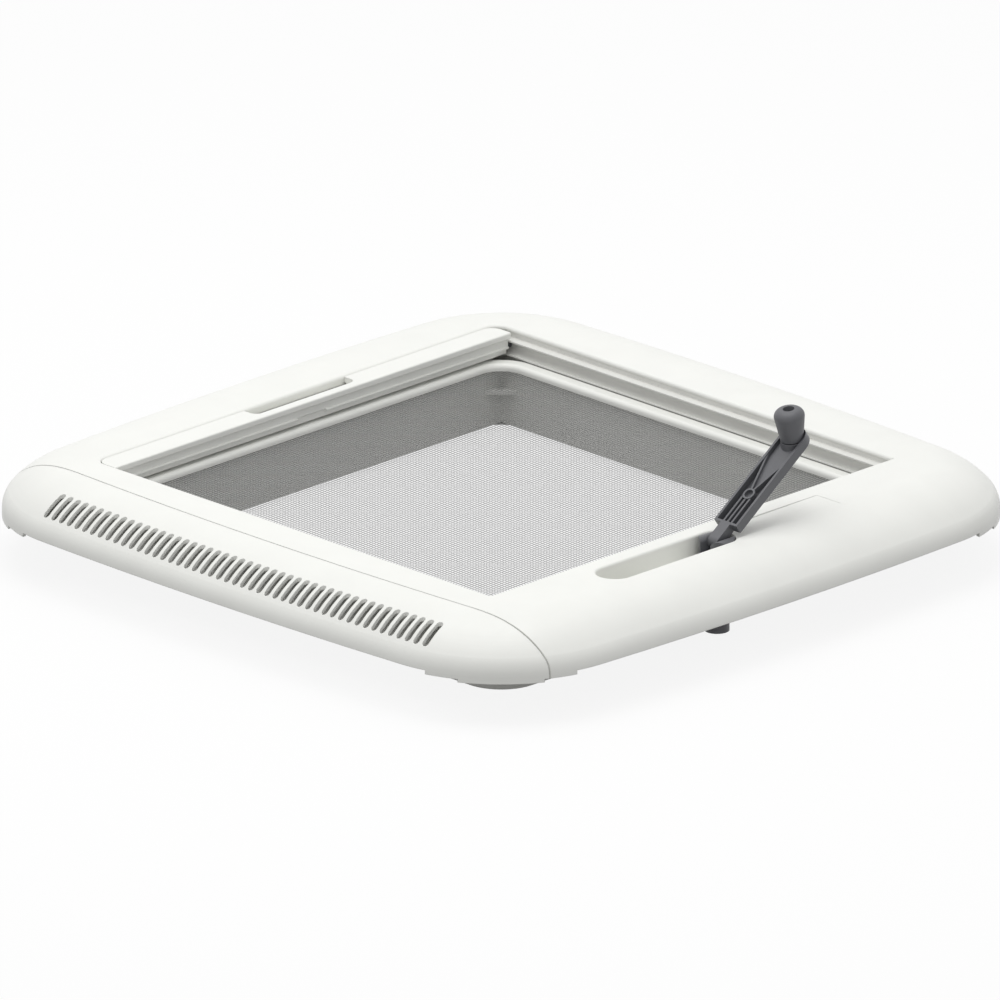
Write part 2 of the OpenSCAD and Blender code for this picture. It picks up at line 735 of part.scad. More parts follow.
// The ledge under the seam, which reaches under the surround
module seam_ledge() {
    ledge_turn = 0.95 * side_turn;
    seam_r = side_bow_r - cover_seam;
    riser = seam_r + seam_gap - slip;
    low = -skin_t - ledge_t;
    root = seam_r + ledge_root;
    section = [[seam_r - ledge_w, low], [root, low], [root, -skin_t / 2], [riser, -skin_t / 2],
        [riser, -skin_t], [seam_r - ledge_w, -skin_t]];
    translate([side_k, 0, overall_h])
        rotate_extrude(angle = 2 * ledge_turn, start = 180 - ledge_turn, $fn = 1440) polygon(section);
}

module vent_end_cover() {
    color(white) union() {
        difference() {
            union() {
                skin_side(180);
                skin_corner(90);
                skin_corner(180);
            }
            below_rim();
            surround_zone(seam_gap);
            air_slots();
        }
        seam_ledge();
    }
}

// Collar and liner

// The zone round the crank's recess that the collar and the liner stay out of
module recess_zone(front) {
    room = recess_wall + notch_clear;
    translate([-recess_reach - room, -big, zd(pocket_depth + room)])
        cube([recess_reach + carrier_half_l + room + notch_clear, big - front, overall_h]);
}

module roof_collar() {
    inner = collar_half - collar_wall;
    flange_mid = (flange_back - flange_front) / 2;
    flange_hy = (flange_back + flange_front) / 2;
    color(cream) difference() {
        union() {
            linear_extrude(zd(flange_drop)) rounded_plate(collar_half, collar_half, collar_corner_r);
            translate([0, flange_mid, zd(flange_drop + flange_t)]) linear_extrude(flange_t)
                rounded_plate(flange_side, flange_hy, flange_corner_r);
        }
        translate([0, 0, -cut]) linear_extrude(overall_h)
            rounded_plate(inner, inner, collar_corner_r - collar_wall);
        recess_zone(inner - cut);
        for (b = frame_bosses) translate([b[0], b[1], zd(flange_drop + flange_t + cut)])
            cylinder(r = screw_r + slip, h = flange_t + 2 * cut);
    }
}

module gusset() {
    difference() {
        polygon([[0, 0], [-gusset_leg, 0], [0, -gusset_leg]]);
        translate([-fixing_inset, -fixing_inset]) circle(fixing_hole_r);
    }
}

module inner_liner() {
    outer = liner_half + liner_wall;
    color(cream) union() {
        translate([0, 0, zd(liner_bottom_drop)]) linear_extrude(liner_bottom_drop - flange_drop)
            difference() {
                square(2 * outer, center = true);
                square(2 * liner_half, center = true);
            }
        difference() {
            translate([0, 0, zd(flange_drop)]) linear_extrude(seat_t) difference() {
                rounded_plate(collar_half, collar_half, collar_corner_r);
                square(2 * liner_half, center = true);
            }
            recess_zone(cup_front - 0.4);
        }
        for (a = [0 : 90 : 270]) rotate([0, 0, a])
            translate([liner_half, liner_half, zd(gusset_drop + gusset_t)])
                linear_extrude(gusset_t) gusset();
    }
}

// Flyscreen

// Section of the flyscreen's frame: x outwards from the bead's inner edge, y up from its foot
module bead_section() {
    r = bead_round;
    difference() {
        union() {
            translate([r, 0]) square([bead_w - r, bead_h]);
            square([r, bead_h - r]);
            translate([r, bead_h - r]) intersection() {
                circle(r);
                translate([-r, 0]) square(r);
            }
        }
        translate([groove_inset, -cut]) square([groove_w, groove_h + cut]);
    }
}

module screen_ring(drop) {
    run_l = 2 * (screen_half - bead_corner_r);
    for (a = [0 : 90 : 270]) {
        along_edge([cos(a) * screen_half, sin(a) * screen_half, zd(drop)], a, run_l) children();
        rotate([0, 0, a]) round_corner([run_l / 2, run_l / 2, zd(drop)], 0)
            translate([bead_corner_r, 0]) children();
    }
}

module flyscreen_frame() {
    color(white) screen_ring(bead_bottom) bead_section();
}

module screen_spline() {
    color(dark_grey) screen_ring(bead_bottom)
        translate([groove_inset + slip, 0]) square([groove_w - 2 * slip, groove_h - slip]);
}

module flyscreen_mesh() {
    net_half = screen_half + net_tuck;
    pitch = 2 * screen_half / net_gaps;
    gap = pitch - net_strand;
    color([0.6, 0.61, 0.6]) translate([0, 0, zd(seat_drop)]) linear_extrude(net_t) difference() {
        rounded_plate(net_half, net_half, bead_corner_r);
        for (i = [0 : net_gaps - 1], j = [0 : net_gaps - 1])
            translate([(i + 0.5) * pitch - screen_half, (j + 0.5) * pitch - screen_half])
                square(gap, center = true);
    }
}

// Guide rails

// Section of a rail: x outwards from its lip, y up from the room face
module rail_section() {
    lip_top = rail_bottom_drop - rail_lip_t;
    translate([rail_depth, -flange_drop]) square([rail_wall, flange_drop - skin_t]);
    translate([0, -ridge_drop - ridge_t]) square([rail_depth + cut, ridge_t]);
    translate([0, -rail_bottom_drop]) square([rail_depth + cut, rail_lip_t]);
    difference() {
        translate([rail_depth - cove_r, -lip_top - rail_lip_t / 2])
            square([cove_r + cut, cove_r + rail_lip_t / 2]);
        translate([rail_depth - cove_r, cove_r - lip_top]) circle(cove_r);
    }
    translate([rail_depth, -flange_drop]) square([rail_wall + foot_w, foot_t]);
}

module guide_rail(angle) {
    mid_y = (rail_back - rail_front) / 2;
    sx = cos(angle);
    difference() {
        along_edge([sx * rail_lip, mid_y, overall_h], angle, rail_back + rail_front) rail_section();
        for (b = frame_bosses) translate([b[0], b[1], zd(flange_drop + cut)])
            cylinder(r = screw_r + slip, h = foot_t + 2 * cut);
    }
}

module guide_rail_left() {
    color(cream) guide_rail(180);
}

module guide_rail_right() {
    color(cream) guide_rail(0);
}

// Blind

module blind_cassette() {
    hx = blind_half + cassette_wall + 1.6;
    front = collar_half + 2.5;
    wall_l = cassette_back - rail_back - pass_gap;
    color(cream) difference() {
        union() {
            translate([-hx, front, zd(flange_drop)])
                cube([2 * hx, cassette_back + cassette_foot - front, foot_t]);
            translate([-hx, cassette_back - cassette_wall, zd(flange_drop)])
                cube([2 * hx, cassette_wall, cassette_h]);
            for (x = [-hx, hx - cassette_wall]) translate([x, cassette_back - wall_l, zd(flange_drop)])
                cube([cassette_wall, wall_l, cassette_h]);
        }
        for (b = frame_bosses) translate([b[0], b[1], zd(flange_drop + cut)])
            cylinder(r = screw_r + slip, h = foot_t + 2 * cut);
    }
}

// The folded stack, as one zigzag sheet: y runs back from the pull bar
module pleated_blind() {
    front = body_back + side_gap;
    back = opening_back + stack_d - side_gap;
    fold = (back - front) / (2 * pleat_count);
    v = pleat_t / 2 * pleat_h / (fold + pleat_t);
    mid = stack_drop + pleat_h / 2;
    swing = pleat_h / 2 - v;
    upper = [for (i = [0 : 2 * pleat_count]) [front + i * fold, (i % 2 == 0 ? swing : -swing) + v]];
    lower = [for (i = [2 * pleat_count : -1 : 0]) [front + i * fold, (i % 2 == 0 ? swing : -swing) - v]];
    color([0.82, 0.82, 0.78]) translate([-blind_half, 0, zd(mid)]) rotate([90, 0, 90])
        linear_extrude(2 * blind_half) polygon(concat(upper, lower));
}

module bar_catch() {
    wall_back = opening_front + front_wall_t;
    color(dark_grey) union() {
        translate([-catch_half, -wall_back - catch_t, zd(catch_drop[1])])
            cube([2 * catch_half, catch_t, catch_drop[1] - catch_drop[0]]);
        translate([-nose_half, -wall_back - catch_t / 2, zd(nose_drop[1])])
            cube([2 * nose_half, wall_back + catch_t / 2 - nose_tip, nose_drop[1] - nose_drop[0]]);
    }
}

// Pull bar

module grip_outline() {
    r = opening_corner_r - bar_gap;
    translate([-bar_end, bar_front]) square([2 * bar_end, grip_back - r - bar_front]);
    translate([r - bar_end, grip_back - r - cut]) square([2 * (bar_end - r), r + cut]);
    for (sx = [-1, 1]) translate([sx * (bar_end - r), grip_back - r]) circle(r);
}

module notch_outline(grow) {
    r = notch_r + grow;
    hx = notch_half + grow;
    depth = opening_back - notch_front + 2 * r;
    translate([0, notch_front - grow + depth / 2]) rounded_plate(hx, depth / 2, r);
}

module pull_bar_grip() {
    skirt_h = grip_drop - grip_sink;
    color(white) difference() {
        union() {
            translate([0, 0, zd(grip_sink + grip_t)]) linear_extrude(grip_t) grip_outline();
            translate([-bar_end, bar_front, zd(grip_drop)]) cube([2 * bar_end, bar_wall, skirt_h]);
            translate([opening_corner_r - bar_end, grip_back - bar_wall, zd(grip_drop)])
                cube([2 * (bar_end - opening_corner_r), bar_wall, skirt_h]);
            translate([0, 0, zd(grip_drop)]) linear_extrude(skirt_h) intersection() {
                grip_outline();
                notch_outline(bar_wall);
            }
            for (p = bar_screw_at) translate([p[0], p[1], zd(grip_drop)])
                cylinder(r = bar_screw_r + bar_wall, h = skirt_h - grip_t / 2);
        }
        translate([0, 0, zd(grip_drop + cut)]) linear_extrude(grip_drop + 2 * cut) notch_outline(0);
        along_edge([0, bar_front, zd(grip_sink)], 90, 2 * bar_end + 2 * cut) edge_cutter(edge_round / 2);
        for (p = bar_screw_at) translate([p[0], p[1], zd(grip_drop + cut)])
            cylinder(r = bar_screw_r + run, h = grip_drop + cut - bar_pilot_drop);
    }
}

module pull_bar_body() {
    upper_front = bar_front + body_step;
    lower_front = bar_front + lower_step;
    lip_front = bar_front + 0.5;
    hollow_w = body_back - bar_wall - hollow_front;
    color(white) difference() {
        union() {
            translate([-body_end, upper_front, zd(lip_drop)])
                cube([2 * body_end, body_back - upper_front, lip_drop - grip_drop]);
            translate([-body_end, lower_front, zd(body_drop)])
                cube([2 * body_end, body_back - lower_front, body_drop - lip_drop]);
            for (sx = [-1, 1])
                translate([sx > 0 ? lip_gap_half : -body_end, lip_front, zd(lip_drop + lip_t)])
                    cube([body_end - lip_gap_half, lower_front + cut - lip_front, lip_t]);
        }
        translate([-big, hollow_front, zd(hollow_bottom)])
            cube([2 * big, hollow_w, hollow_bottom - notch_drop - bar_wall]);
        for (x = [-big, notch_half + bar_wall]) translate([x, hollow_front, zd(hollow_bottom)])
            cube([big - notch_half - bar_wall, hollow_w, hollow_bottom - hollow_top]);
        translate([0, 0, zd(notch_drop)]) linear_extrude(notch_drop) notch_outline(0);
        for (p = bar_screw_at) translate([p[0], p[1], zd(hollow_top + cut)])
            cylinder(r = bar_screw_r + slip, h = bar_wall + 2 * cut);
        for (p = bar_screw_at) translate([p[0], p[1], zd(body_drop + cut)])
            cylinder(r = bar_screw_head_r + pass_gap, h = bar_wall + 2 * cut);
    }
}

module bar_slider(angle) {
    y0 = hollow_front + slip;
    y1 = body_back - bar_wall - slip;
    color(dark_grey) translate([0, (y0 + y1) / 2, 0]) rotate([0, 0, angle]) union() {
        translate([body_end - slider_l, -(y1 - y0) / 2, zd(hollow_bottom - slip)])
            cube([slider_l, y1 - y0, hollow_bottom - hollow_top - 2 * slip]);
        translate([body_end - cut, -(y1 - y0) / 2, zd(tongue_bottom)])
            cube([tongue_reach - body_end + cut, y1 - y0, tongue_bottom - tongue_top]);
    }
}

module bar_slider_left() {
    bar_slider(180);
}

module bar_slider_right() {
    bar_slider(0);
}

module bar_screws() {
    color(steel) for (p = bar_screw_at) translate([p[0], p[1], zd(hollow_top)])
        screw(bar_screw_r, bar_screw_head_r, bar_screw_head_h, hollow_top - bar_pilot_drop - tip_room);
}

// Spindle and its bearing

module spindle_carrier() {
    tube_r = bush_r + run + carrier_wall;
    color(dark_grey) translate([0, -spindle_y, 0]) difference() {
        union() {
            translate([0, 0, zd(carrier_plate_drop + carrier_t)]) linear_extrude(carrier_t)
                rounded_plate(carrier_half_l, carrier_half_w, 3);
            translate([0, 0, zd(carrier_drop)]) cylinder(r = tube_r, h = carrier_drop - carrier_plate_drop);
        }
        translate([0, 0, zd(carrier_drop + cut)]) cylinder(r = bush_r + run, h = carrier_drop);
        for (sx = [-1, 1]) translate([sx * carrier_screw_x, 0, zd(carrier_drop)])
            cylinder(r = screw_r + slip, h = carrier_drop);
    }
}

module spindle_bush() {
    flange_low = carrier_drop + bush_flange_t;
    color([0.85, 0.83, 0.76]) translate([0, -spindle_y, 0]) difference() {
        union() {
            translate([0, 0, zd(flange_low)]) cylinder(r = bush_r, h = flange_low - recess_depth);
            translate([0, 0, zd(flange_low)]) cylinder(r = bush_r + carrier_wall / 2, h = bush_flange_t);
        }
        translate([0, 0, zd(flange_low + cut)]) cylinder(r = shaft_r + run, h = carrier_drop);
    }
}

module carrier_screws() {
    head_drop = carrier_plate_drop + carrier_t;
    color(steel) for (sx = [-1, 1]) translate([sx * carrier_screw_x, -spindle_y, zd(head_drop)])
        screw(screw_r, screw_head_r, screw_head_h, head_drop - carrier_screw_top - tip_room);
}

module frame_screws() {
    head_drop = flange_drop + flange_t;
    color(steel) for (b = frame_bosses) translate([b[0], b[1], zd(head_drop)])
        screw(screw_r, screw_head_r, screw_head_h, head_drop - boss_pilot_drop - tip_room);
}

module crank_hub() {
    slot_half = tongue_w / 2 + pass_gap;
    color(dark_grey) translate([0, -spindle_y, 0]) difference() {
        union() {
            translate([0, 0, zd(hub_drop)]) cylinder(r = hub_r, h = hub_drop - hub_eye_drop);
            intersection() {
                translate([0, 0, zd(hub_drop)]) cylinder(r = hub_r, h = hub_drop + hub_proud);
                for (sy = [-1, 1]) translate([-big / 2, sy * cheek_y, zd(hub_eye_drop)]) rotate([0, 90, 0])
                    cylinder(r = cheek_r, h = big);
            }
        }
        translate([-hub_r - cut, -slot_half, zd(hub_slot_drop)])
            cube([2 * (hub_r + cut), 2 * slot_half, hub_slot_drop + hub_proud + cut]);
        translate([0, hub_r + cut, zd(hinge_drop)]) rotate([90, 0, 0])
            cylinder(r = pin_r + run / 2, h = 2 * (hub_r + cut));
        translate([0, 0, zd(hub_drop + cut)])
            cylinder(r = spigot_r + run / 2, h = spigot_l + cut + side_gap);
    }
}

module drive_spindle() {
    neck_top = clip_top - run;
    neck_low = clip_top + clip_t + run;
    color(dark_grey) translate([0, -spindle_y, 0]) difference() {
        union() {
            translate([0, 0, zd(hub_drop + cut)]) cylinder(r = spigot_r, h = spigot_l + cut);
            translate([0, 0, zd(neck_top)]) cylinder(r = shaft_r, h = neck_top - hub_drop);
            translate([0, 0, zd(neck_low + cut)])
                cylinder(r = clip_neck_r, h = neck_low - neck_top + 2 * cut);
            translate([0, 0, zd(socket_drop + cut)])
                cylinder(r = shaft_r, h = socket_drop + cut - neck_low);
            translate([0, 0, zd(socket_end)]) cylinder(r = socket_r, h = socket_end - socket_drop);
        }
        translate([0, 0, zd(socket_end + cut)]) cylinder(r = socket_bore_r, h = socket_bore_l + cut);
    }
}

module thrust_washer() {
    color(steel) translate([0, -spindle_y, zd(recess_depth)]) difference() {
        cylinder(r = washer_r, h = recess_depth - hub_drop);
        translate([0, 0, -cut]) cylinder(r = shaft_r + slip, h = recess_depth);
    }
}

module retaining_clip() {
    color(steel) translate([0, -spindle_y, zd(clip_top + clip_t)]) difference() {
        cylinder(r = clip_r, h = clip_t);
        translate([0, 0, -cut]) cylinder(r = clip_neck_r + run / 2, h = clip_t + 2 * cut);
        translate([0, -clip_neck_r * 0.8, -cut]) cube([big, 1.6 * clip_neck_r, clip_t + 2 * cut]);
    }
}

module hinge_pin() {
    color(steel) translate([0, hub_r - 0.6 - spindle_y, zd(hinge_drop)]) rotate([90, 0, 0])
        cylinder(r = pin_r, h = 2 * (hub_r - 0.6));
}

// A bent leaf under the arm's eye
module detent_spring() {
    leaf = [[-spring_half, 0], [0, spring_rise], [spring_half, 0],
        [spring_half, spring_t], [0, spring_rise + spring_t], [-spring_half, spring_t]];
    color(steel) translate([0, tongue_w / 2 - 0.2 - spindle_y, zd(hub_slot_drop)]) rotate([90, 0, 0])
        linear_extrude(tongue_w - 0.4) polygon(leaf);
}

// Crank arm, drawn flat with its hinge at the origin and the knob's side up, then raised

module at_hinge() {
    translate([0, -spindle_y, zd(hinge_drop)]) rotate([0, -arm_rise, 0]) children();
}

// The knob's axis, with its foot at the origin
module at_knob() {
    at_hinge() translate([arm_l, 0, knob_rise]) rotate([0, 90 - knob_tilt, 0]) children();
}

module arm_outline(inset) {
    r = arm_w / 2 - inset;
    translate([arm_root + inset, -r]) square([arm_l - arm_root - inset, 2 * r]);
    translate([arm_l, 0]) circle(r);
}

module arm_ribs() {
    rib_h = arm_depth - arm_wall - 0.8;
    v_end = [arm_l - rib_end, arm_w / 2 - 1];
    v_angle = atan2(v_end[1], v_end[0] - ring_at);
    v_l = norm([v_end[0] - ring_at, v_end[1]]);
    linear_extrude(rib_h) {
        for (s = [-1, 1]) translate([ring_at, 0]) rotate(s * v_angle)
            translate([ring_r - rib_t, -rib_t / 2]) square([v_l - ring_r + rib_t, rib_t]);
        for (y = [-1, 0, 1]) translate([arm_root, y * (tongue_w - rib_t) / 2 - rib_t / 2])
            square([ring_at - ring_r + rib_t - arm_root, rib_t]);
    }
    linear_extrude(rib_h / 2) polygon([[ring_at, 0], [v_end[0], v_end[1] - 1], [arm_l, v_end[1] - 1],
        [arm_l, 1 - v_end[1]], [v_end[0], 1 - v_end[1]]]);
    translate([ring_at, 0, 0]) difference() {
        cylinder(r = ring_r, h = rib_h + 0.4);
        translate([0, 0, rib_h / 2]) cylinder(r = ring_r - rib_t, h = rib_h);
    }
}

module crank_arm() {
    color(dark_grey) difference() {
        union() {
            at_hinge() {
                translate([0, 0, -arm_back]) linear_extrude(arm_wall) arm_outline(0);
                translate([0, 0, -arm_back]) linear_extrude(arm_depth) difference() {
                    arm_outline(0);
                    arm_outline(arm_wall);
                }
                translate([0, 0, arm_wall - arm_back]) arm_ribs();
                translate([0, -tongue_w / 2, -arm_back]) cube([arm_root + arm_wall, tongue_w, arm_depth]);
                translate([0, tongue_w / 2, 0]) rotate([90, 0, 0]) cylinder(r = eye_r, h = tongue_w);
            }
            intersection() {
                at_knob() translate([0, 0, -knob_gap - axle_root - knob_rise])
                    cylinder(r = knob_foot_r, h = axle_root + knob_rise);
                at_hinge() translate([0, -arm_w, -arm_back]) cube([2 * arm_l, 2 * arm_w, arm_l]);
                at_hinge() translate([0, 0, -arm_back]) linear_extrude(arm_l) arm_outline(0);
            }
        }
        at_hinge() translate([0, tongue_w, 0]) rotate([90, 0, 0])
            cylinder(r = pin_r + run, h = 2 * tongue_w);
        at_knob() translate([0, 0, -3 * axle_root]) cylinder(r = axle_r + run / 2, h = 4 * axle_root);
        at_knob() translate([0, 0, -knob_gap])
            cylinder(r1 = knob_foot_r + knob_gap, r2 = knob_r + knob_gap, h = knob_h - knob_round);
    }
}

module knob_axle() {
    color(steel) at_knob() difference() {
        union() {
            translate([0, 0, -knob_gap - knob_rise])
                cylinder(r = axle_r, h = axle_seat + knob_rise + knob_gap + slip);
            translate([0, 0, axle_seat + slip]) cylinder(r = axle_head_r, h = axle_head_h);
        }
        translate([-axle_head_r - cut, -0.4, axle_seat + axle_head_h - 0.8])
            cube([2 * (axle_head_r + cut), 0.8, cut + 0.8]);
    }
}

module knob_section() {
    shoulder = knob_h - knob_round;
    difference() {
        intersection() {
            union() {
                polygon([[0, 0], [knob_foot_r, 0], [knob_r, shoulder], [0, shoulder]]);
                translate([0, shoulder - cut]) square([knob_r - knob_round, knob_round + cut]);
                translate([knob_r - knob_round, shoulder]) intersection() {
                    circle(knob_round);
                    translate([0, -cut / 4]) square(knob_round + cut);
                }
            }
            square(2 * knob_h);
        }
        translate([-cut, -cut]) square([axle_r + run + cut, knob_h + 2 * cut]);
        translate([-cut, axle_seat]) square([axle_hole_r + cut, knob_h]);
    }
}

module crank_knob() {
    color(dark_grey) at_knob() rotate_extrude() knob_section();
}

surround_frame();
vent_end_cover();
roof_collar();
inner_liner();
guide_rail_left();
guide_rail_right();
blind_cassette();
bar_catch();
flyscreen_frame();
flyscreen_mesh();
screen_spline();
spindle_carrier();
spindle_bush();
carrier_screws();
frame_screws();
crank_hub();
drive_spindle();
thrust_washer();
retaining_clip();
hinge_pin();
detent_spring();
crank_arm();
knob_axle();
crank_knob();
pull_bar_grip();
pull_bar_body();
bar_slider_left();
bar_slider_right();
bar_screws();
pleated_blind();
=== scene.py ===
"""Caravan roof vent, room side up: a white surround, a flyscreen, a pleated blind and a winding crank."""
import json
import math

import bpy
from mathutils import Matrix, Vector


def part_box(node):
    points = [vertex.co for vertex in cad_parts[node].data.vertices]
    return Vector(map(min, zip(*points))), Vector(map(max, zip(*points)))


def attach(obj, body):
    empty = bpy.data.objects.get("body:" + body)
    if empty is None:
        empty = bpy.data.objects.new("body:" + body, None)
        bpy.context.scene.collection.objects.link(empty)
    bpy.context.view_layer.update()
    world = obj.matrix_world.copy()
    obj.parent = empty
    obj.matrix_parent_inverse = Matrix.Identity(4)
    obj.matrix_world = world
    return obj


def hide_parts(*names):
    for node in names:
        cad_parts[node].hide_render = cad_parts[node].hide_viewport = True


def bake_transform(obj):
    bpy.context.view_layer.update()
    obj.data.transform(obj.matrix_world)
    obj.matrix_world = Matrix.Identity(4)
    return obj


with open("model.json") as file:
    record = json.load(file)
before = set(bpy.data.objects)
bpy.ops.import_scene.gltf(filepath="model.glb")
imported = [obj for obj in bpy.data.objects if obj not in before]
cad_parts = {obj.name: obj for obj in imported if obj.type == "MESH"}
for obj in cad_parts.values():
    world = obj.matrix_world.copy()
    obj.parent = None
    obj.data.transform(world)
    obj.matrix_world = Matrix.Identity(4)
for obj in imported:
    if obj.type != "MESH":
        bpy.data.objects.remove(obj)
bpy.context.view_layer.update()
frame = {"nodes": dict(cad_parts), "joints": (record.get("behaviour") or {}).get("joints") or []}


# Roof collar. A square tube of injection-moulded ABS that reaches through the roof cut-out, with a
# flange round it that every other fixed piece is screwed to. It is the first piece to be put down.
mm = 0.001


def noise_cloud(tree, place, size_mm, detail=2.0):
    """Grey clouds about as wide as size_mm, fixed to the piece."""
    noise = tree.nodes.new("ShaderNodeTexNoise")
    noise.inputs["Scale"].default_value = 1 / (size_mm * mm)
    noise.inputs["Detail"].default_value = detail
    tree.links.new(place, noise.inputs["Vector"])
    return noise.outputs["Fac"]


def spread(tree, grey, low, high, dark=0.3, light=0.7):
    """Stretches a grey texture to run from low to high."""
    stretch = tree.nodes.new("ShaderNodeMapRange")
    for socket, value in (("From Min", dark), ("From Max", light), ("To Min", low), ("To Max", high)):
        stretch.inputs[socket].default_value = value
    tree.links.new(grey, stretch.inputs["Value"])
    return stretch.outputs["Result"]


def two_tones(tree, grey, first, second):
    """Runs from the first colour to the second where the grey texture gets lighter."""
    mix = tree.nodes.new("ShaderNodeMix")
    mix.data_type = "RGBA"
    factor_in, first_colour_in, second_colour_in, colour_out = 0, 6, 7, 2
    for socket, tone in ((first_colour_in, first), (second_colour_in, second)):
        if isinstance(tone, bpy.types.NodeSocket):
            tree.links.new(tone, mix.inputs[socket])
        else:
            mix.inputs[socket].default_value = (*tone, 1)
    tree.links.new(grey, mix.inputs[factor_in])
    return mix.outputs[colour_out]


def shade(colour, amount):
    """The same colour, lighter or darker."""
    return tuple(min(1.0, amount * channel) for channel in colour)


def moulded_plastic(name, colour, roughness, grain_mm, grain_depth_mm, edge_mm=0.4, edge_highlight_and_wear=1.05):
    """Plastic from a mould: cloudy colour, uneven gloss, fine grain, round edges painted lighter as a
    painted highlight with slight rubbed wear.
    """
    plastic = bpy.data.materials.new(name)
    plastic.use_nodes = True
    tree = plastic.node_tree
    shader = tree.nodes["Principled BSDF"]
    place = tree.nodes.new("ShaderNodeTexCoord").outputs["Object"]

    round_edge = tree.nodes.new("ShaderNodeBevel")
    round_edge.samples = 6
    round_edge.inputs["Radius"].default_value = edge_mm * mm
    flat_face = tree.nodes.new("ShaderNodeNewGeometry")
    facing = tree.nodes.new("ShaderNodeVectorMath")
    facing.operation = "DOT_PRODUCT"
    tree.links.new(round_edge.outputs["Normal"], facing.inputs[0])
    tree.links.new(flat_face.outputs["Normal"], facing.inputs[1])
    edge = spread(tree, facing.outputs["Value"], 1.0, 0.0, dark=0.7, light=0.98)

    cloud_mm, cloud_shade = 30, 0.975
    clouds = spread(tree, noise_cloud(tree, place, cloud_mm), 0.0, 1.0)
    body = two_tones(tree, clouds, shade(colour, cloud_shade), colour)
    # Towards the edges the colour is painted lighter: partly a painted highlight, partly rubbed wear.
    highlit_and_worn = two_tones(tree, edge, body, shade(colour, edge_highlight_and_wear))
    tree.links.new(highlit_and_worn, shader.inputs["Base Color"])

    patch_mm, uneven = 9, 0.05
    gloss = spread(tree, noise_cloud(tree, place, patch_mm), roughness - uneven, roughness + uneven)
    tree.links.new(gloss, shader.inputs["Roughness"])

    grain = tree.nodes.new("ShaderNodeBump")
    grain.inputs["Strength"].default_value = 0.35
    grain.inputs["Distance"].default_value = grain_depth_mm * mm
    tree.links.new(noise_cloud(tree, place, grain_mm), grain.inputs["Height"])
    tree.links.new(round_edge.outputs["Normal"], grain.inputs["Normal"])
    tree.links.new(grain.outputs["Normal"], shader.inputs["Normal"])
    return plastic


def dress(finish, *names):
    """Gives CAD pieces their finish, and shades their round faces smooth."""
    for name in names:
        piece = frame["nodes"][name]
        piece.data.materials.clear()
        piece.data.materials.append(finish)
        piece.data.shade_smooth()


inner_white = moulded_plastic("inner_white", (0.80, 0.80, 0.77), roughness=0.55,
                              grain_mm=0.7, grain_depth_mm=0.03)
dress(inner_white, "roof_collar")


# Inner liner. The lining of the well, a thin moulding that hangs from a seat on the collar's flange.
# Four corner gussets take the screws that pull the unit to the roof.
dress(inner_white, "inner_liner")


# Fly net. A square of woven polyester net, stretched over the liner's seat and tucked under the
# flyscreen's frame. Each thread is a thin round bar; warp and weft lie in two layers that touch.
net_low, net_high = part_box("flyscreen_mesh")
net_half = net_high.x
net_middle = (net_low.z + net_high.z) / 2
net_corner = 16 * mm
net_pitch = 2.39 * mm
thread_r = 0.125 * mm
thread_sides = 6


def thread_length(offset):
    """Half the length of a thread at a distance from the net's middle, between the rounded corners."""
    past = abs(offset) - (net_half - net_corner)
    if past <= 0:
        return net_half
    return net_half - net_corner + math.sqrt(max(0.0, net_corner**2 - past**2))


net_points, net_faces = [], []
thread_count = int(2 * net_half / net_pitch)
for layer in (-1, 1):
    for number in range(thread_count):
        offset = (number - (thread_count - 1) / 2) * net_pitch
        reach = thread_length(offset)
        first = len(net_points)
        for along in (-reach, reach):
            for side in range(thread_sides):
                turn = 2 * math.pi * side / thread_sides
                across = offset + thread_r * math.cos(turn)
                up = net_middle + layer * thread_r + thread_r * math.sin(turn)
                net_points.append((along, across, up) if layer < 0 else (across, -along, up))
        for side in range(thread_sides):
            after = (side + 1) % thread_sides
            net_faces.append((first + side, first + thread_sides + side,
                              first + thread_sides + after, first + after))
        net_faces.append(tuple(first + side for side in range(thread_sides)))
        net_faces.append(tuple(first + 2 * thread_sides - 1 - side for side in range(thread_sides)))


def piece_from(name, points, faces, finish):
    """A new piece with its finish, from points and outward faces."""
    mesh = bpy.data.meshes.new(name)
    mesh.from_pydata(points, [], faces)
    mesh.validate()
    mesh.materials.append(finish)
    piece = bpy.data.objects.new(name, mesh)
    bpy.context.scene.collection.objects.link(piece)
    return piece


def spun_yarn(name, colour, fibre_mm):
    """Polyester yarn: speckled by its fibres, soft in its gloss."""
    yarn = bpy.data.materials.new(name)
    yarn.use_nodes = True
    tree = yarn.node_tree
    shader = tree.nodes["Principled BSDF"]
    shader.inputs["Sheen Weight"].default_value = 0.15
    place = tree.nodes.new("ShaderNodeTexCoord").outputs["Object"]
    fibres = spread(tree, noise_cloud(tree, place, fibre_mm), 0.0, 1.0)
    speckled = two_tones(tree, fibres, shade(colour, 0.8), shade(colour, 1.2))
    tree.links.new(speckled, shader.inputs["Base Color"])
    tree.links.new(spread(tree, fibres, 0.5, 0.7, 0.0, 1.0), shader.inputs["Roughness"])
    return yarn


net_yarn = spun_yarn("net_yarn", (0.22, 0.22, 0.22), fibre_mm=1.5)
net = piece_from("fly_net", net_points, net_faces, net_yarn)
net.data.shade_smooth()
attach(net, "frame")
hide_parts("flyscreen_mesh")


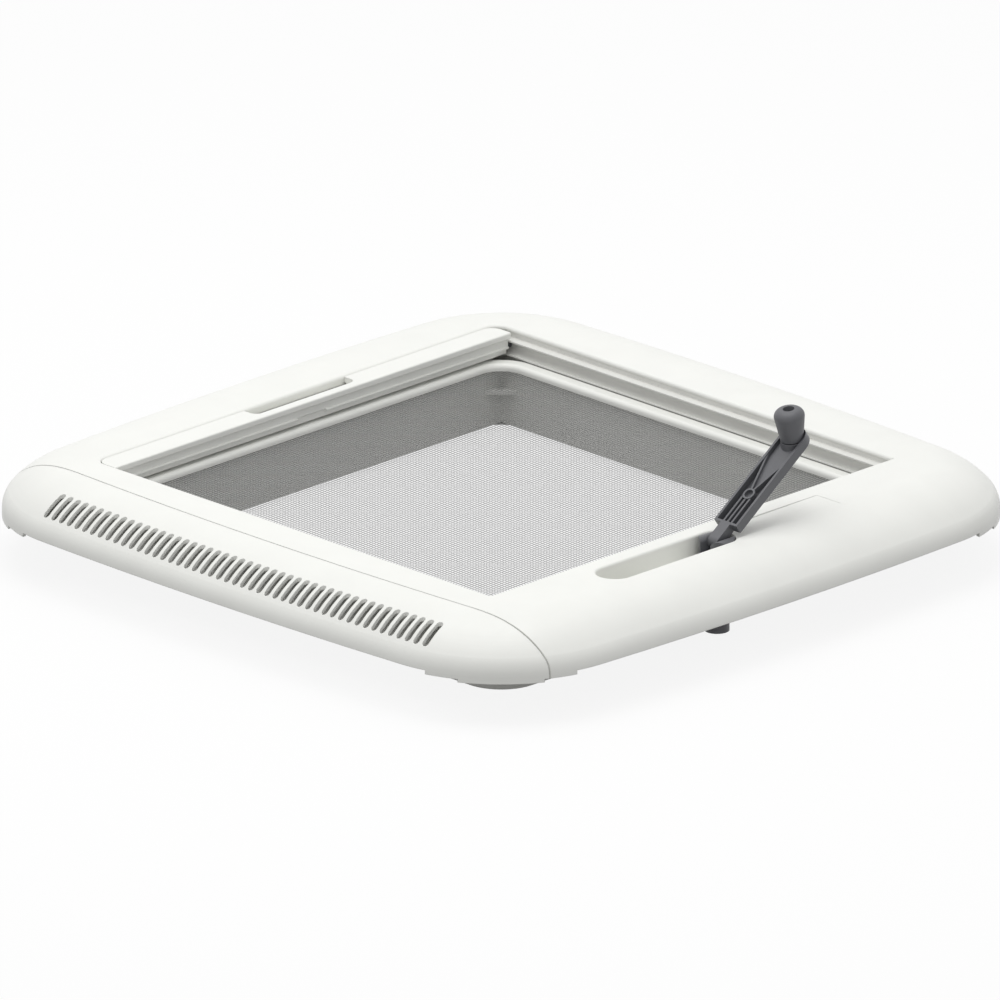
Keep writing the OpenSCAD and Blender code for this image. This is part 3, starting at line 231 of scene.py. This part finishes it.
# Spline and flyscreen frame. A soft rubber cord pins the net in a groove under the frame. The frame is
# a white bead, moulded in one ring, that clips down on the net and the liner's seat.
def soft_rubber(name, colour):
    """Extruded rubber: matt, with a faint bloom."""
    rubber = bpy.data.materials.new(name)
    rubber.use_nodes = True
    tree = rubber.node_tree
    shader = tree.nodes["Principled BSDF"]
    place = tree.nodes.new("ShaderNodeTexCoord").outputs["Object"]
    bloom_mm = 4
    bloom = spread(tree, noise_cloud(tree, place, bloom_mm, detail=5.0), 0.0, 1.0)
    tree.links.new(two_tones(tree, bloom, colour, shade(colour, 1.8)), shader.inputs["Base Color"])
    tree.links.new(spread(tree, bloom, 0.7, 0.9, 0.0, 1.0), shader.inputs["Roughness"])
    return rubber


dress(soft_rubber("spline_rubber", (0.02, 0.02, 0.02)), "screen_spline")
shell_white = moulded_plastic("shell_white", (0.90, 0.905, 0.868), roughness=0.42,
                              grain_mm=0.5, grain_depth_mm=0.02, edge_mm=0.8)
dress(shell_white, "flyscreen_frame")


# Guide rails. Two long mouldings with an upper and a lower channel, screwed down under the opening's
# side lips. The pull bar's sliders run in the lower channels.
dress(inner_white, "guide_rail_left", "guide_rail_right")


# Blind cassette. The open tray at the back that the folded blind lies in. It is a white moulding, and
# the back frame screws hold its feet down on the collar's flange.
dress(inner_white, "blind_cassette")


# Pleated blind. One length of coated cloth, pressed into even folds. Its back end is glued into the
# cassette and its front end to the pull bar, so that it opens like a concertina.
stack_low, stack_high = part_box("pleated_blind")
stack_depth = stack_high.y - stack_low.y
pleat_height = stack_high.z - stack_low.z
stack_middle = (stack_high.z + stack_low.z) / 2
pleats = 36
cloth_thick = 0.16 * mm
fold_round = 1.0 * mm
bar_travel = next(joint["range_m"][1] for joint in frame["joints"] if joint["name"] == "blind_slide")


def packed_share(open_share):
    """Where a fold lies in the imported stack, so that the folds are even when the blind is pulled out."""
    halvings = 40
    low, high = 0.0, 1.0
    for _ in range(halvings):
        share = (low + high) / 2
        pulled = stack_depth * share + bar_travel * share * share * (3 - 2 * share)
        if pulled < (stack_depth + bar_travel) * open_share:
            low = share
        else:
            high = share
    return (low + high) / 2


folds = 2 * pleats
fold_places = [stack_high.y - stack_depth * packed_share(fold / folds) for fold in range(folds + 1)]
ribbon_top, ribbon_under = [], []
for fold, y in enumerate(fold_places):
    nearest = min(abs(y - other) for other in fold_places[max(0, fold - 1):fold + 2] if other != y)
    half_lift = min(fold_round, cloth_thick / 2 * pleat_height / nearest)
    swing = (pleat_height / 2 - half_lift) * (1 if fold % 2 == 0 else -1)
    ribbon_top.append((y, stack_middle + swing + half_lift))
    ribbon_under.append((y, stack_middle + swing - half_lift))
ribbon = ribbon_top + ribbon_under[::-1]
blind_points = [(x, y, z) for x in (stack_low.x, stack_high.x) for y, z in ribbon]
around = len(ribbon)
blind_faces = [(i, (i + 1) % around, around + (i + 1) % around, around + i) for i in range(around)]
last = around - 1
for start, turned in ((0, False), (around, True)):
    for i in range(folds):
        patch = (start + i, start + last - i, start + last - i - 1, start + i + 1)
        blind_faces.append(patch if turned else patch[::-1])


def woven_cloth(name, colour, yarn_mm):
    """Plain-woven coated cloth: crossing yarns that show in colour and relief."""
    cloth = bpy.data.materials.new(name)
    cloth.use_nodes = True
    tree = cloth.node_tree
    shader = tree.nodes["Principled BSDF"]
    shader.inputs["Sheen Weight"].default_value = 0.25
    place = tree.nodes.new("ShaderNodeTexCoord").outputs["Object"]
    band_at_scale_one = 0.314
    yarns = []
    for direction in ("X", "Z"):
        wave = tree.nodes.new("ShaderNodeTexWave")
        wave.bands_direction = direction
        wave.inputs["Scale"].default_value = band_at_scale_one / (yarn_mm * mm)
        wave.inputs["Distortion"].default_value = 0.6
        tree.links.new(place, wave.inputs["Vector"])
        yarns.append(wave.outputs["Fac"])
    weave = tree.nodes.new("ShaderNodeMath")
    weave.operation = "MULTIPLY"
    tree.links.new(yarns[0], weave.inputs[0])
    tree.links.new(yarns[1], weave.inputs[1])
    crossed = two_tones(tree, weave.outputs[0], shade(colour, 0.86), colour)
    tree.links.new(crossed, shader.inputs["Base Color"])
    patch_mm = 6
    gloss = spread(tree, noise_cloud(tree, place, patch_mm), 0.65, 0.85)
    tree.links.new(gloss, shader.inputs["Roughness"])
    relief = tree.nodes.new("ShaderNodeBump")
    relief.inputs["Strength"].default_value = 0.3
    relief.inputs["Distance"].default_value = 0.05 * mm
    tree.links.new(weave.outputs[0], relief.inputs["Height"])
    tree.links.new(relief.outputs["Normal"], shader.inputs["Normal"])
    return cloth


coated_cloth = woven_cloth("blind_cloth", (0.60, 0.60, 0.56), yarn_mm=0.5)
blind = piece_from("pleated_cloth", blind_points, blind_faces, coated_cloth)
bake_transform(blind)
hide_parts("pleated_blind")


# Surround. The big white moulding that shows in the room, with its bullnosed edge, the opening and the
# recess for the crank. It is laid over the rails and the cassette and screwed to the collar from below.
dress(shell_white, "surround_frame")


# End cover. A separate white moulding with a row of air slots, in the same plastic as the surround. It
# clips to the surround's end along a bowed seam.
dress(shell_white, "vent_end_cover")


# Bar catch. A small dark grey spring catch behind the opening's front wall. Its nose looks through a
# window and holds the pull bar when the blind is shut.
def dark_plastic(name, roughness):
    """The dark grey glass-filled nylon of everything that turns, slides or snaps."""
    # Its edges are painted much lighter than its body: partly a painted highlight, partly rubbed wear.
    return moulded_plastic(name, (0.122, 0.124, 0.134), roughness, grain_mm=0.6, grain_depth_mm=0.03,
                           edge_mm=0.35, edge_highlight_and_wear=1.35)


snap_grey = dark_plastic("snap_grey", roughness=0.5)
dress(snap_grey, "bar_catch")


# Frame screws. Eight zinc-plated pan-head screws that go up through the collar's flange, through the
# feet of the rails and the cassette, into bosses under the surround.
def zinc_plate(name, colour, roughness):
    """Zinc-plated steel: a dull mirror with cloudy patches and fine drawing marks."""
    zinc = bpy.data.materials.new(name)
    zinc.use_nodes = True
    tree = zinc.node_tree
    shader = tree.nodes["Principled BSDF"]
    shader.inputs["Metallic"].default_value = 1.0
    place = tree.nodes.new("ShaderNodeTexCoord").outputs["Object"]
    patch_mm, mark_mm = 1.5, 0.3
    patches = spread(tree, noise_cloud(tree, place, patch_mm, detail=4.0), 0.0, 1.0)
    tree.links.new(two_tones(tree, patches, shade(colour, 0.85), colour), shader.inputs["Base Color"])
    tree.links.new(spread(tree, patches, roughness + 0.1, roughness, 0.0, 1.0), shader.inputs["Roughness"])
    marks = tree.nodes.new("ShaderNodeBump")
    marks.inputs["Strength"].default_value = 0.2
    marks.inputs["Distance"].default_value = 0.01 * mm
    tree.links.new(noise_cloud(tree, place, mark_mm), marks.inputs["Height"])
    tree.links.new(marks.outputs["Normal"], shader.inputs["Normal"])
    return zinc


screw_zinc = zinc_plate("screw_zinc", (0.62, 0.63, 0.64), roughness=0.3)
dress(screw_zinc, "frame_screws")


# Spindle bearing. A dark grey carrier, screwed under the recess with two screws, holds a natural acetal
# bush that the spindle turns in.
def natural_acetal(name, colour):
    """Unpigmented acetal: smooth, and a little see-through at its edges."""
    acetal = bpy.data.materials.new(name)
    acetal.use_nodes = True
    tree = acetal.node_tree
    shader = tree.nodes["Principled BSDF"]
    shader.inputs["Subsurface Weight"].default_value = 0.15
    shader.inputs["Subsurface Scale"].default_value = 1 * mm
    place = tree.nodes.new("ShaderNodeTexCoord").outputs["Object"]
    flow_mm = 6
    flow = spread(tree, noise_cloud(tree, place, flow_mm), 0.0, 1.0)
    tree.links.new(two_tones(tree, flow, shade(colour, 0.93), colour), shader.inputs["Base Color"])
    tree.links.new(spread(tree, flow, 0.25, 0.35, 0.0, 1.0), shader.inputs["Roughness"])
    return acetal


dress(snap_grey, "spindle_carrier")
dress(natural_acetal("bush_acetal", (0.70, 0.68, 0.60)), "spindle_bush")
dress(screw_zinc, "carrier_screws")


# Spindle and hub. The dark grey spindle drops through the bush with a steel washer under its hub and a
# steel clip below. The hub is forked for the crank's eye, with a pin through it and a leaf spring under it.
crank_grey = dark_plastic("crank_grey", roughness=0.42)
dress(crank_grey, "drive_spindle", "crank_hub")
bright_zinc = zinc_plate("bright_zinc", (0.66, 0.67, 0.68), roughness=0.22)
dress(bright_zinc, "thrust_washer", "retaining_clip", "hinge_pin", "detent_spring")


# Crank arm. A ribbed channel of dark grey nylon that swings up on the hub's pin. A slotted steel axle
# is pressed into its far end for the knob.
dress(crank_grey, "crank_arm")
dress(bright_zinc, "knob_axle")


# Knob. A waisted dark grey moulding with a dished end. It spins on the axle, and the axle's slotted head
# keeps it on the arm.
knob_grey = dark_plastic("knob_grey", roughness=0.48)
dress(knob_grey, "crank_knob")


# Pull bar. A white grip with a finger notch, screwed on a hollow white body from below. Two dark grey
# sliders stick out of the body's ends and run in the guide rails.
dress(shell_white, "pull_bar_grip", "pull_bar_body")
dress(snap_grey, "bar_slider_left", "bar_slider_right")
dress(screw_zinc, "bar_screws")


# Studio. A pale floor under the vent, a soft white sky, and one broad lamp overhead on the left. The
# floor is near white to the camera, and keeps a soft shadow.
floor_size = 8.0
floor_mesh = bpy.data.meshes.new("floor")
corner = floor_size / 2
floor_corners = [(x * corner, y * corner, 0) for x, y in ((-1, -1), (1, -1), (1, 1), (-1, 1))]
floor_mesh.from_pydata(floor_corners, [], [(0, 1, 2, 3)])
floor = bpy.data.objects.new("floor", floor_mesh)
bpy.context.scene.collection.objects.link(floor)


def any_of(tree, first, second):
    """Whichever of two yes-or-no values is yes."""
    most = tree.nodes.new("ShaderNodeMath")
    most.operation = "MAXIMUM"
    tree.links.new(first, most.inputs[0])
    tree.links.new(second, most.inputs[1])
    return most.outputs[0]


def seen_directly(tree):
    """Yes for what the camera sees, also in a mirror or through glass."""
    ray = tree.nodes.new("ShaderNodeLightPath").outputs
    return any_of(tree, ray["Is Camera Ray"], any_of(tree, ray["Is Glossy Ray"], ray["Is Transmission Ray"]))


floor_white = 0.88
floor_grey = (0.40, 0.40, 0.40)
floor_pale = (0.95, 0.95, 0.95)
paper = bpy.data.materials.new("floor_paper")
paper.use_nodes = True
tree = paper.node_tree
tree.nodes.clear()
matt = tree.nodes.new("ShaderNodeBsdfDiffuse")
tree.links.new(two_tones(tree, seen_directly(tree), floor_grey, floor_pale), matt.inputs["Color"])
glow = tree.nodes.new("ShaderNodeEmission")
glow.inputs["Color"].default_value = (1, 1, 1, 1)
glow.inputs["Strength"].default_value = 1.0
share = tree.nodes.new("ShaderNodeMath")
share.operation = "MULTIPLY"
share.inputs[1].default_value = floor_white
tree.links.new(seen_directly(tree), share.inputs[0])
top_side = tree.nodes.new("ShaderNodeMixShader")
tree.links.new(share.outputs[0], top_side.inputs[0])
tree.links.new(matt.outputs[0], top_side.inputs[1])
tree.links.new(glow.outputs[0], top_side.inputs[2])
clear = tree.nodes.new("ShaderNodeBsdfTransparent")
under = tree.nodes.new("ShaderNodeNewGeometry")
both_sides = tree.nodes.new("ShaderNodeMixShader")
tree.links.new(under.outputs["Backfacing"], both_sides.inputs[0])
tree.links.new(top_side.outputs[0], both_sides.inputs[1])
tree.links.new(clear.outputs[0], both_sides.inputs[2])
surface = tree.nodes.new("ShaderNodeOutputMaterial")
tree.links.new(both_sides.outputs[0], surface.inputs["Surface"])
floor_mesh.materials.append(paper)

sky_light = 0.60
world = bpy.data.worlds.new("studio")
bpy.context.scene.world = world
world.use_nodes = True
tree = world.node_tree
tree.nodes.clear()
soft_sky = tree.nodes.new("ShaderNodeBackground")
soft_sky.inputs["Color"].default_value = (1, 1, 1, 1)
soft_sky.inputs["Strength"].default_value = sky_light
white_wall = tree.nodes.new("ShaderNodeBackground")
white_wall.inputs["Color"].default_value = (1, 1, 1, 1)
white_wall.inputs["Strength"].default_value = 1.0
either = tree.nodes.new("ShaderNodeMixShader")
tree.links.new(seen_directly(tree), either.inputs[0])
tree.links.new(soft_sky.outputs[0], either.inputs[1])
tree.links.new(white_wall.outputs[0], either.inputs[2])
horizon = tree.nodes.new("ShaderNodeOutputWorld")
tree.links.new(either.outputs[0], horizon.inputs["Surface"])

lamp_place = Vector((-0.12, 0.12, 1.6))
lamp_width = 1.4
lamp_watts = 14.0
lamp_data = bpy.data.lights.new("soft_box", "AREA")
lamp_data.size = lamp_width
lamp_data.energy = lamp_watts
lamp = bpy.data.objects.new("soft_box", lamp_data)
lamp.location = lamp_place
lamp.rotation_euler = (-lamp_place).to_track_quat("-Z", "Y").to_euler()
bpy.context.scene.collection.objects.link(lamp)

look_at = Vector((-0.0005, 0.0005, 0.0373))
camera_turn = math.radians(45)
camera_rise = math.radians(19.97)
camera_away = 2.0
view_width = 0.6211
towards_camera = Vector((-math.cos(camera_rise) * math.sin(camera_turn),
                         -math.cos(camera_rise) * math.cos(camera_turn), math.sin(camera_rise)))
camera_data = bpy.data.cameras.new("camera")
camera_data.type = "ORTHO"
camera_data.ortho_scale = view_width
camera = bpy.data.objects.new("camera", camera_data)
camera.location = look_at + camera_away * towards_camera
camera.rotation_euler = (-towards_camera).to_track_quat("-Z", "Y").to_euler()
bpy.context.scene.collection.objects.link(camera)
bpy.context.scene.camera = camera
bpy.context.scene.view_settings.view_transform = "Standard"
